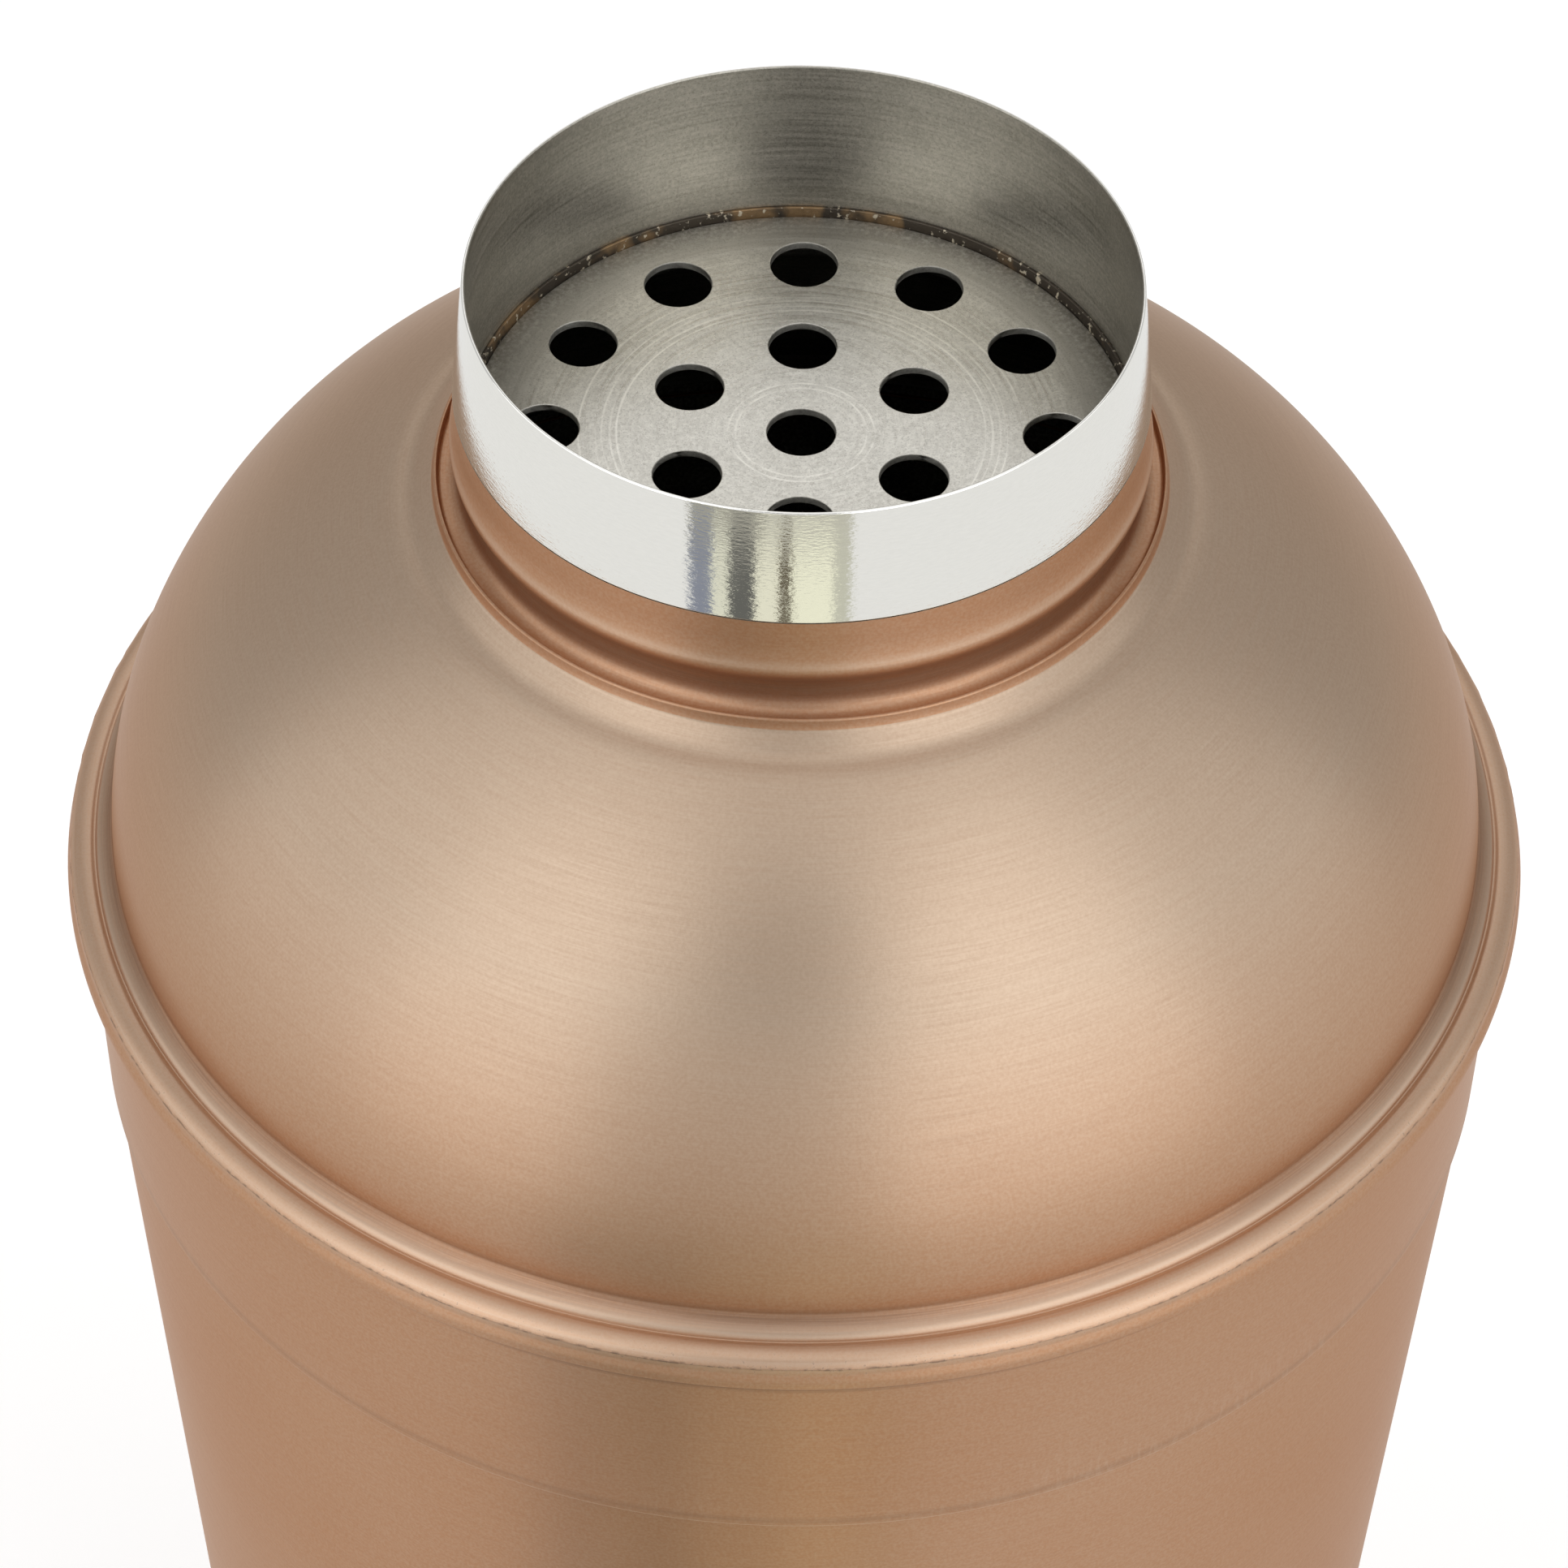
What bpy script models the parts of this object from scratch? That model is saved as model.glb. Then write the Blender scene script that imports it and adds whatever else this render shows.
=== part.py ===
"""A copper-finished cocktail shaker with its cap off: a tapered tumbler under a domed strainer lid.

Metres, +Z up. The shaker stands on z = 0 with its axis on the Z axis. Everything is turned round that
axis, so each sub-part is an outline of (radius, height) points, revolved. Heights in the lid are
measured from the flange line, which is the underside of the lid's widest edge.
"""
import math

import bmesh
import bpy
from mathutils import Matrix, Vector

MM = 0.001

# Driving dimensions
FLANGE_RADIUS = 46.0 * MM
FLANGE_HEIGHT = 152.0 * MM
WALL = 0.6 * MM
GAP = 0.3 * MM
SEGMENTS = 64

# Tumbler
BODY_TOP_RADIUS = FLANGE_RADIUS - 1.85 * MM
BODY_SLOPE = math.tan(math.radians(4.03))
BASE_CORNER = 3.5 * MM
FOOT_WIDTH = 2.6 * MM
RECESS_SLOPE_WIDTH = 2.0 * MM
RECESS_DEPTH = 1.8 * MM
CORNER_STEPS = 5

# Skirt ring, which slides over the tumbler's mouth
SKIRT_LENGTH = 14.65 * MM
SKIRT_TOP_RADIUS = FLANGE_RADIUS - 1.1 * MM
SKIRT_FOOT_RADIUS = FLANGE_RADIUS - 1.61 * MM
SKIRT_SHOULDER_DROP = 0.9 * MM
LEDGE_DEPTH = 0.4 * MM
LEDGE_WIDTH = 1.2 * MM
SEAM_FLOOR = 0.9 * MM
SEAM_TOP = 1.35 * MM
SEAM_RADIUS = FLANGE_RADIUS - 0.5 * MM

# Strainer dome
DOME_RADIUS = 34.36 * MM
DOME_CENTRE = Vector((FLANGE_RADIUS - 36.57 * MM, -1.15 * MM))
DOME_TOP_ANGLE = 64.2
DOME_BEND_ANGLE = 20
DOME_STEPS = 10
DOME_FOOT = Vector((FLANGE_RADIUS - 2.98 * MM, 3.5 * MM))
DOME_FOOT_BEND = Vector((0, 3.5 * MM))
BEAD_CENTRE = Vector((FLANGE_RADIUS - 2.5 * MM, 2.16 * MM))
BEAD_RADIUS = 0.65 * MM
BEAD_STEPS = 5

# Neck
NECK_RADIUS = 20.95 * MM
PLATING_LINE = 38.3 * MM
PLATING_RADIUS = NECK_RADIUS - 0.1 * MM
RIM_HEIGHT = 46.2 * MM
RIM_RADIUS = 20.15 * MM
RIM_THICKNESS = 0.3 * MM
NECK_RIDGE_HEIGHT = 34.3 * MM
GROOVE_RADIUS = NECK_RADIUS - 0.3 * MM
GROOVE_HEIGHT = 32.6 * MM
COLLAR_RADIUS = 22.1 * MM
COLLAR_HEIGHT = 31.8 * MM
COLLAR_ROUND = 0.35 * MM

# Strainer plate
PLATE_RADIUS = NECK_RADIUS - WALL - GAP
PLATE_TOP = 34.3 * MM
PLATE_THICKNESS = 0.5 * MM
PLATE_RIM = 1.0 * MM
HOLE_RADIUS = 2.07 * MM
HOLE_SEGMENTS = 20
INNER_HOLES = 6
INNER_HOLE_CIRCLE = 7.82 * MM
OUTER_HOLES = 12
OUTER_HOLE_CIRCLE = 15.4 * MM

# Colour, roughness and metallic value of each finish
COPPER = ((0.56, 0.36, 0.24), 0.38, 1.0)
BRIGHT_STEEL = ((0.86, 0.86, 0.84), 0.08, 1.0)
BRUSHED_STEEL = ((0.62, 0.61, 0.58), 0.30, 1.0)


def material(name, finish):
    colour, roughness, metallic = finish
    result = bpy.data.materials.new(name)
    result.use_nodes = True
    shader = result.node_tree.nodes["Principled BSDF"]
    shader.inputs["Base Color"].default_value = (*colour, 1.0)
    shader.inputs["Roughness"].default_value = roughness
    shader.inputs["Metallic"].default_value = metallic
    return result


def on_circle(centre, radius, degrees):
    """The outline point at an angle on a circle."""
    angle = math.radians(degrees)
    return Vector(centre) + radius * Vector((math.cos(angle), math.sin(angle)))


def arc(centre, radius, start, end, steps):
    """Points on an arc of the outline, from the start angle to the end angle in degrees."""
    return [on_circle(centre, radius, start + (end - start) * step / steps) for step in range(steps + 1)]


def curve(start, control, end, steps):
    """Points on a quadratic curve that leaves the start and reaches the end towards the control."""
    points = []
    for step in range(steps + 1):
        t = step / steps
        points.append((1 - t) ** 2 * Vector(start) + 2 * t * (1 - t) * Vector(control) + t * t * Vector(end))
    return points


def add_object(name, mesh_builder, finish, height=FLANGE_HEIGHT):
    """Turn a bmesh into a named, smooth-shaded object that stands at a height on the axis."""
    bmesh.ops.recalc_face_normals(mesh_builder, faces=mesh_builder.faces)
    mesh = bpy.data.meshes.new(name)
    mesh_builder.to_mesh(mesh)
    mesh_builder.free()
    mesh.materials.append(material(name, finish))
    mesh.shade_smooth()
    mesh.set_sharp_from_angle(angle=math.radians(35))
    result = bpy.data.objects.new(name, mesh)
    result.location.z = height
    bpy.context.scene.collection.objects.link(result)
    return result


def revolve(outline):
    """Revolve a closed outline of (radius, height) points; a point at radius 0 becomes a pole."""
    builder = bmesh.new()
    rings = []
    for radius, height in outline:
        if radius == 0:
            rings.append([builder.verts.new((0, 0, height))] * SEGMENTS)
            continue
        ring = []
        for segment in range(SEGMENTS):
            angle = 2 * math.pi * segment / SEGMENTS
            ring.append(builder.verts.new((radius * math.cos(angle), radius * math.sin(angle), height)))
        rings.append(ring)
    for lower, upper in zip(rings, rings[1:] + rings[:1]):
        for segment in range(SEGMENTS):
            following = (segment + 1) % SEGMENTS
            corners = [lower[segment], lower[following], upper[following], upper[segment]]
            corners = list(dict.fromkeys(corners))
            if len(corners) > 2:
                builder.faces.new(corners)
    return builder


def tumbler_outline():
    """The deep-drawn cup: base recess, tapered side, shoulder and straight mouth, in one sheet."""
    mouth_radius = SKIRT_FOOT_RADIUS - WALL - GAP
    rim = FLANGE_HEIGHT - LEDGE_DEPTH - GAP
    shoulder = FLANGE_HEIGHT - SKIRT_LENGTH - GAP
    base_radius = BODY_TOP_RADIUS - BODY_SLOPE * shoulder
    corner_centre = (base_radius - BASE_CORNER, BASE_CORNER)
    taper = math.degrees(math.atan(BODY_SLOPE))
    foot_inside = corner_centre[0] - FOOT_WIDTH
    recess_radius = foot_inside - RECESS_SLOPE_WIDTH

    outside = [Vector((0, RECESS_DEPTH)), Vector((recess_radius, RECESS_DEPTH)), Vector((foot_inside, 0))]
    outside += arc(corner_centre, BASE_CORNER, -90, -taper, CORNER_STEPS)
    outside += [
        Vector((BODY_TOP_RADIUS, shoulder - WALL)),
        Vector((BODY_TOP_RADIUS - WALL / 2, shoulder)),
        Vector((mouth_radius, shoulder)),
        Vector((mouth_radius, rim)),
    ]
    inside = [
        Vector((mouth_radius - WALL, rim)),
        Vector((mouth_radius - WALL, shoulder - WALL)),
        Vector((BODY_TOP_RADIUS - WALL, shoulder - 2 * WALL)),
    ]
    inside += arc(corner_centre, BASE_CORNER - WALL, -taper, -90, CORNER_STEPS)
    inside += [
        Vector((foot_inside - WALL / 2, WALL)),
        Vector((recess_radius - WALL / 2, RECESS_DEPTH + WALL)),
        Vector((0, RECESS_DEPTH + WALL)),
    ]
    return outside + inside


def skirt_outline():
    """The lid's skirt, with the flange that is curled up round the dome's foot."""
    ledge_radius = SKIRT_TOP_RADIUS - WALL - LEDGE_WIDTH
    flange = [
        Vector((ledge_radius, SEAM_FLOOR)),
        Vector((SEAM_RADIUS, SEAM_FLOOR)),
        Vector((SEAM_RADIUS, SEAM_TOP)),
    ]
    flange += curve(
        (SEAM_RADIUS + 0.1 * MM, SEAM_TOP), (FLANGE_RADIUS, SEAM_FLOOR), (FLANGE_RADIUS, SEAM_FLOOR / 3), 3
    )
    flange.append(Vector((FLANGE_RADIUS - 0.2 * MM, 0)))
    band = [
        Vector((SKIRT_TOP_RADIUS, -LEDGE_DEPTH)),
        Vector((SKIRT_TOP_RADIUS, -SKIRT_SHOULDER_DROP)),
        Vector((SKIRT_FOOT_RADIUS, -SKIRT_LENGTH)),
        Vector((SKIRT_FOOT_RADIUS - WALL, -SKIRT_LENGTH)),
        Vector((SKIRT_TOP_RADIUS - WALL, -SKIRT_SHOULDER_DROP)),
        Vector((SKIRT_TOP_RADIUS - WALL, -LEDGE_DEPTH)),
        Vector((ledge_radius, -LEDGE_DEPTH)),
    ]
    return flange + band


def dome_outline():
    """The lid's shell: straight neck, groove, collar line, dome, bead and foot."""
    neck_top = PLATING_LINE - GAP
    dome_top = on_circle(DOME_CENTRE, DOME_RADIUS, DOME_TOP_ANGLE)
    foot_height = SEAM_FLOOR + GAP
    foot_radius = SEAM_RADIUS - GAP

    outside = [Vector((PLATING_RADIUS, neck_top)), Vector((NECK_RADIUS, NECK_RIDGE_HEIGHT))]
    outside += curve(
        (GROOVE_RADIUS, GROOVE_HEIGHT),
        (GROOVE_RADIUS, COLLAR_HEIGHT - 0.1 * MM),
        (GROOVE_RADIUS + 0.85 * MM, COLLAR_HEIGHT - 0.1 * MM),
        3,
    )
    collar_centre = (COLLAR_RADIUS - COLLAR_ROUND, COLLAR_HEIGHT - COLLAR_ROUND)
    outside += arc(collar_centre, COLLAR_ROUND, 90, 0, 3)
    outside += curve(outside[-1], (COLLAR_RADIUS, dome_top.y + 1.1 * MM), dome_top, 3)[1:]
    outside += arc(DOME_CENTRE, DOME_RADIUS, DOME_TOP_ANGLE, DOME_BEND_ANGLE, DOME_STEPS)[1:]
    outside += curve(outside[-1], DOME_FOOT + DOME_FOOT_BEND, DOME_FOOT, 4)[1:]
    outside += arc(BEAD_CENTRE, BEAD_RADIUS, 75, 0, BEAD_STEPS)
    outside += curve(
        (FLANGE_RADIUS - 1.5 * MM, 2.28 * MM), (foot_radius, 2.28 * MM), (foot_radius, SEAM_TOP + 0.1 * MM), 3
    )
    foot_inside = DOME_FOOT - Vector((WALL, 0))
    bend_inside = on_circle(DOME_CENTRE, DOME_RADIUS - WALL, DOME_BEND_ANGLE)
    inside = [Vector((foot_radius, foot_height)), Vector((foot_inside.x, foot_height))]
    inside += curve(foot_inside, foot_inside + DOME_FOOT_BEND, bend_inside, 4)[:-1]
    inside += arc(DOME_CENTRE, DOME_RADIUS - WALL, DOME_BEND_ANGLE, DOME_TOP_ANGLE + 2, DOME_STEPS)
    inside += [
        Vector((COLLAR_RADIUS - WALL, COLLAR_HEIGHT - 1.5 * WALL)),
        Vector((GROOVE_RADIUS - WALL, GROOVE_HEIGHT - 0.4 * WALL)),
        Vector((NECK_RADIUS - WALL, NECK_RIDGE_HEIGHT)),
        Vector((NECK_RADIUS - WALL, neck_top)),
    ]
    return outside + inside


def neck_ring_outline():
    """The bright steel collar that the cap fits over, thinned to a fine rounded lip."""
    inner_foot = NECK_RADIUS - WALL
    lip_centre = (RIM_RADIUS - RIM_THICKNESS / 2, RIM_HEIGHT - RIM_THICKNESS / 2)
    outline = [Vector((inner_foot, PLATING_LINE)), Vector((PLATING_RADIUS, PLATING_LINE))]
    outline += arc(lip_centre, RIM_THICKNESS / 2, 0, 180, 4)
    return outline


def plate_outline():
    """The strainer disc, dished, so that its edge turns up against the neck's wall."""
    under = PLATE_TOP - PLATE_THICKNESS
    corner = PLATE_THICKNESS
    inner_radius = PLATE_RADIUS - PLATE_THICKNESS
    outline = [Vector((0, under)), Vector((PLATE_RADIUS - corner, under))]
    outline += [Vector((PLATE_RADIUS, under + corner)), Vector((PLATE_RADIUS, PLATE_TOP + PLATE_RIM))]
    outline += curve(
        (inner_radius, PLATE_TOP + PLATE_RIM), (inner_radius, PLATE_TOP), (inner_radius - corner, PLATE_TOP), 3
    )
    outline.append(Vector((0, PLATE_TOP)))
    return outline


def hole_centres():
    """One hole on the axis, then a ring of six and a ring of twelve."""
    centres = [Vector((0, 0, 0))]
    for count, circle, phase in (
        (INNER_HOLES, INNER_HOLE_CIRCLE, math.pi / INNER_HOLES),
        (OUTER_HOLES, OUTER_HOLE_CIRCLE, 0.0),
    ):
        for number in range(count):
            angle = phase + 2 * math.pi * number / count
            centres.append(circle * Vector((math.cos(angle), math.sin(angle), 0)))
    return centres


def add_plate():
    """The strainer plate, with its holes cut by one set of punches."""
    plate = add_object("strainer_plate", revolve(plate_outline()), BRUSHED_STEEL)
    punches = bmesh.new()
    for centre in hole_centres():
        bmesh.ops.create_cone(
            punches,
            cap_ends=True,
            segments=HOLE_SEGMENTS,
            radius1=HOLE_RADIUS,
            radius2=HOLE_RADIUS,
            depth=6 * PLATE_THICKNESS,
            matrix=Matrix.Translation(centre + Vector((0, 0, PLATE_TOP))),
        )
    cutter = add_object("hole_punches", punches, BRUSHED_STEEL)
    cutter.hide_render = True
    cutter.display_type = "WIRE"
    cut = plate.modifiers.new("holes", "BOOLEAN")
    cut.operation = "DIFFERENCE"
    cut.object = cutter
    return plate


def main():
    for old in list(bpy.data.objects):
        bpy.data.objects.remove(old)
    add_object("tumbler", revolve(tumbler_outline()), COPPER, height=0.0)
    lid = bpy.data.objects.new("lid_origin", None)
    bpy.context.scene.collection.objects.link(lid)
    parts = [
        add_object("skirt_ring", revolve(skirt_outline()), COPPER),
        add_object("strainer_dome", revolve(dome_outline()), COPPER),
        add_object("neck_ring", revolve(neck_ring_outline()), BRIGHT_STEEL),
        add_plate(),
    ]
    for part in parts:
        part.parent = lid


main()
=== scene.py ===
"""Looks of the copper-finished cocktail shaker, cap off.

Every piece is turned round the Z axis from an outline of (radius, height) points. Heights in the lid are
measured from the flange line, as in the CAD part, and lengths are metres.
"""
import math

import bmesh
import bpy
from mathutils import Matrix, Vector, noise


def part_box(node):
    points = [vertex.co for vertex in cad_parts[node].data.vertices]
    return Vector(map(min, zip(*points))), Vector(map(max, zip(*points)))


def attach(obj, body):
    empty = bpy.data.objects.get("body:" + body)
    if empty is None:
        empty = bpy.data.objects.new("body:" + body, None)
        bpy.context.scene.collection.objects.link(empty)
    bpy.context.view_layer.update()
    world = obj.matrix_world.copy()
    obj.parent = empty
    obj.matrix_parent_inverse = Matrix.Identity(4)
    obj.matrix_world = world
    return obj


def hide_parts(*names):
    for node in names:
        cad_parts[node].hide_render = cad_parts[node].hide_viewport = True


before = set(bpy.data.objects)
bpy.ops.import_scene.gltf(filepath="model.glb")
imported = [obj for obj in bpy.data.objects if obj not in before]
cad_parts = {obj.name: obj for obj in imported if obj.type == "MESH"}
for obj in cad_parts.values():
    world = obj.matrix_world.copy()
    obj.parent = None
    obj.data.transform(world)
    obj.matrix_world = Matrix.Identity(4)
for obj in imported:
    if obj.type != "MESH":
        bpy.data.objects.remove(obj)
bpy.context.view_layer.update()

MM = 0.001

# Sizes from the frame's boxes, and two of the CAD's own; the mouth is let out to meet the skirt
FLANGE_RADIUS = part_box("skirt_ring")[1][0]
SKIRT_LENGTH = 14.65 * MM
FLANGE_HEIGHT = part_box("skirt_ring")[0][2] + SKIRT_LENGTH
RIM_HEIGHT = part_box("neck_ring")[1][2] - FLANGE_HEIGHT
PLATING_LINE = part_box("neck_ring")[0][2] - FLANGE_HEIGHT
NECK_FOOT_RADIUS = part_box("neck_ring")[1][0]
PLATE_TOP = 34.3 * MM
MOUTH_RADIUS = FLANGE_RADIUS - 2.2 * MM
MOUTH_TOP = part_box("tumbler")[1][2]

# Sheet and joints
WALL = 0.6 * MM
SEAM = 0.05 * MM
EDGE = 0.12 * MM
SEGMENTS = 320
SHARP_ANGLE = 40

# Tumbler
BODY_TOP_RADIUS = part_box("tumbler")[1][0]
BODY_SLOPE = math.tan(math.radians(4.03))
BASE_CORNER = 3.5 * MM
FOOT_WIDTH = 2.6 * MM
FOOT_POINT = 1.6 * MM
RECESS_DEPTH = 1.8 * MM
RECESS_SLOPE_WIDTH = 2.0 * MM
SIDE_START = 6 * MM
SIDE_EASE = 0.3 * MM

# Skirt and flange
LEDGE_WIDTH = 1.2 * MM
LEDGE_TOP = 0.9 * MM
LEDGE_FOOT = -0.4 * MM
SKIRT_SHOULDER = -0.9 * MM
SKIRT_TOP_RADIUS = FLANGE_RADIUS - 1.1 * MM
SKIRT_FOOT_RADIUS = FLANGE_RADIUS - 1.61 * MM
ROLL_START = Vector((FLANGE_RADIUS - 1.55 * MM, 2.28 * MM))
ROLL_SHOULDER = Vector((FLANGE_RADIUS - 0.55 * MM, 2.3 * MM))
SEAM_EDGE = Vector((FLANGE_RADIUS - 0.24 * MM, 1.56 * MM))
SEAM_TUCK = Vector((0.5 * MM, 0.25 * MM))
SEAM_REACH = 0.25 * MM
SEAM_WAVER = 0.05 * MM

# Dome, from the collar down to the groove inside the flange
SHOULDER_HOLLOW = (23.5 * MM, 29.95 * MM)
SHOULDER_RING = (24.7 * MM, 29.62 * MM)
DOME_RADIUS = 34.36 * MM
DOME_CENTRE = Vector((FLANGE_RADIUS - 36.57 * MM, -1.15 * MM))
DOME_FOOT = Vector((FLANGE_RADIUS - 2.98 * MM, 3.5 * MM))
DOME_FOOT_BEND = Vector((0, 3.5 * MM))
CREASE = Vector((FLANGE_RADIUS - 2.97 * MM, 3.14 * MM))
GROOVE = Vector((FLANGE_RADIUS - 1.84 * MM, 2.12 * MM))
BEAD_CENTRE = Vector((FLANGE_RADIUS - 2.5 * MM, 2.16 * MM))
BEAD_RADIUS = 0.65 * MM
BEAD_TOP_ANGLE = 58
BEAD_FOOT_ANGLE = 6
DOME_TOP_ANGLE = 62
DOME_BEND_ANGLE = 20
DOME_INSIDE_TOP_ANGLE = 66.2

# Neck and strainer
NECK_STRAIGHT_FOOT = 35.7 * MM
NECK_RIDGE = (NECK_FOOT_RADIUS + 0.35 * MM, 34.4 * MM)
NECK_GROOVE_RADIUS = 20.5 * MM
NECK_GROOVE_TOP = 33.2 * MM
NECK_GROOVE_FOOT = 31.2 * MM
NECK_GROOVE_INSIDE = 20.05 * MM
COLLAR_TOP = (21.95 * MM, 31.8 * MM)
COLLAR_EDGE = (22.15 * MM, 31.75 * MM)
COLLAR_SIDE = (22.18 * MM, 31.3 * MM)
COLLAR_FOOT = (22.28 * MM, 30.95 * MM)
NECK_BORE = NECK_FOOT_RADIUS - 0.5 * MM
LINER = 0.05 * MM
PLATE_EDGE_WIDTH = 0.3 * MM
PLATE_RADIUS = NECK_BORE - SEAM - LINER - PLATE_EDGE_WIDTH
RIM_RADIUS = 20.15 * MM
RIM_THICKNESS = 0.22 * MM
PLATE_THICKNESS = 0.5 * MM
PLATE_RIM = 0.6 * MM
HOLE_RADIUS = 2.07 * MM
HOLE_EDGE = 0.07 * MM
# Each ring of holes: how many, the ring's radius, the first hole's angle
HOLE_RINGS = ((1, 0.0, 0.0), (6, 7.82 * MM, 30.0), (12, 15.4 * MM, 0.0))
PLATE_RINGS = [radius * MM for radius in (3.95, 4.4, 11.1, 11.5, 12.0, 12.4, 13.4)]
# Radii between which the plate turns darker and rougher towards its edge
PLATE_DARKER_MARGIN = (16 * MM, 20 * MM)

# Finishes, as linear red, green and blue
COPPER_TONE = (0.49, 0.252, 0.128)
# Paler copper, a painted highlight on the dome's upward-facing part
COPPER_PAINTED_HIGHLIGHT = (0.465, 0.345, 0.248)
COPPER_DARK = (0.36, 0.17, 0.08)
# Lighter copper: rubbed patches, grain and marks, and also painted highlights along the bead, roll, ridge
# and skirt edge
COPPER_RUBBED_AND_HIGHLIT = (0.66, 0.52, 0.40)
# Darker copper for painted shade: in the crease above the bead, the neck groove, under the flange and above
# the skirt's lower edge
COPPER_PAINTED_SHADE = (0.22, 0.12, 0.07)
COPPER_EDGE = (0.80, 0.55, 0.40)
COPPER_PIT = (0.16, 0.10, 0.07)
STEEL_TONE = (0.95, 0.94, 0.90)
# The colour the plate turns to towards its edge
MARGIN_DARK = (0.20, 0.185, 0.155)
CREVICE_DARK = (0.10, 0.085, 0.07)
CREVICE_BROWN = (0.34, 0.23, 0.13)
CREVICE_SPECK = (0.75, 0.68, 0.55)

# The coating's clear top layer
COAT_WEIGHT = 0.6
COAT_ROUGHNESS = 0.34
COAT_IOR = 1.45

# Noise scales per metre; a pair is per radian round a turn, then per metre across the turns
COPPER_GRAIN = 5200.0
COPPER_PATCHES = 38.0
COPPER_BRUSHING = (6.0, 9000.0)
SEAM_DASHES = (90.0, 2500.0)
CHATTER_MARKS = (130.0, 700.0)
POLISH_MARKS = (40.0, 7000.0)
POLISH_SMEARS = 260.0
STEEL_BRUSHING = (2.5, 4200.0)
STEEL_GRAIN = 4200.0
STEEL_BLOTCHES = 650.0
STEEL_PORES = 9000.0
CREVICE_SPECKS = 2600.0
CREVICE_STAINS = 420.0

# Stage, with angles in degrees: bearing 0 is the front and + is right
CAMERA_LENS = 156.5
CAMERA_OUT = 6.6137 * FLANGE_RADIUS
CAMERA_UP = 6.7024 * FLANGE_RADIUS
CAMERA_YAW = 0.136
CAMERA_PITCH = 45.034
CAMERA_ROLL = 0.850
FLOOR_SIZE = 3.0
FLOOR_TONE = (0.9, 0.9, 0.9)
FLOOR_GLOW = 0.27
CARD_LIFT = 0.5 * MM
CARD_STEP = 4
TABLE_REACH = (0.06, 1.5)
PANEL_STEPS = 6
TABLE_TONE = (0.80, 0.80, 0.79)
TENT_RADIUS = 1.0
# Each panel: name, bearings from and to, elevations from and to, radiance
TENT = (
    ("tent_front_low", -30, 12, -8, 36, 0.8),
    ("tent_front_high", -20, 17, 36, 56, 0.2),
    ("tent_left_front_low", -65, -30, -8, 25, 1.6),
    ("tent_left_front_high", -65, -20, 25, 62, 1.7),
    ("tent_right_front_low", 12, 65, -8, 25, 1.7),
    ("tent_right_front_high", 17, 65, 25, 62, 1.8),
    ("tent_left_side", -105, -65, -8, 60, 1.15),
    ("tent_right_side", 65, 105, -8, 60, 1.05),
    ("tent_left_rear", -155, -105, -8, 60, 0.55),
    ("tent_right_rear", 105, 155, -8, 60, 0.55),
    ("tent_back_low", 155, 205, -8, 25, 0.5),
    ("tent_back_high", 155, 205, 25, 60, 1.0),
)
# Each card: bearings from and to, distances from and to, colour
OPENING = (
    (-34, -27, 0.10, 0.317, (0.24, 0.26, 0.32)),
    (-27, -21.6, 0.10, 0.317, (0.72, 0.72, 0.60)),
    (-21.6, -13.5, 0.10, 0.317, (0.13, 0.13, 0.12)),
    (-13.5, -5.9, 0.10, 0.317, (0.78, 0.77, 0.63)),
    (-5.9, -2.4, 0.10, 0.317, (0.10, 0.08, 0.05)),
    (-2.4, 10.8, 0.10, 0.317, (0.85, 0.85, 0.68)),
    (10.8, 16, 0.10, 0.317, (0.55, 0.55, 0.46)),
    (-34, -10, 0.317, 1.0, (0.36, 0.35, 0.30)),
    (-10, 16, 0.317, 1.0, (0.52, 0.51, 0.44)),
)


# Outlines

def on_circle(centre, radius, degrees):
    angle = math.radians(degrees)
    return Vector(centre) + radius * Vector((math.cos(angle), math.sin(angle)))


def arc(centre, radius, start, end, steps):
    return [on_circle(centre, radius, start + (end - start) * step / steps) for step in range(steps + 1)]


def curve(start, control, end, steps):
    """A quadratic curve from start to end that is drawn towards the control point."""
    points = []
    for step in range(steps + 1):
        t = step / steps
        drawn = Vector(start).lerp(control, t).lerp(Vector(control).lerp(end, t), t)
        points.append(drawn)
    return points


def rounded(corners, steps=4):
    """An open outline through (radius, height, fillet) corners, each fillet a short curve."""
    places = [Vector(corner[:2]) for corner in corners]
    points = [places[0]]
    for before, here, after, corner in zip(places, places[1:], places[2:], corners[1:]):
        fillet = corner[2]
        if fillet == 0:
            points.append(here)
            continue
        into = here + (before - here).normalized() * fillet
        out = here + (after - here).normalized() * fillet
        points += curve(into, here, out, steps)
    points.append(places[-1])
    return points


# Mesh helpers

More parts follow.
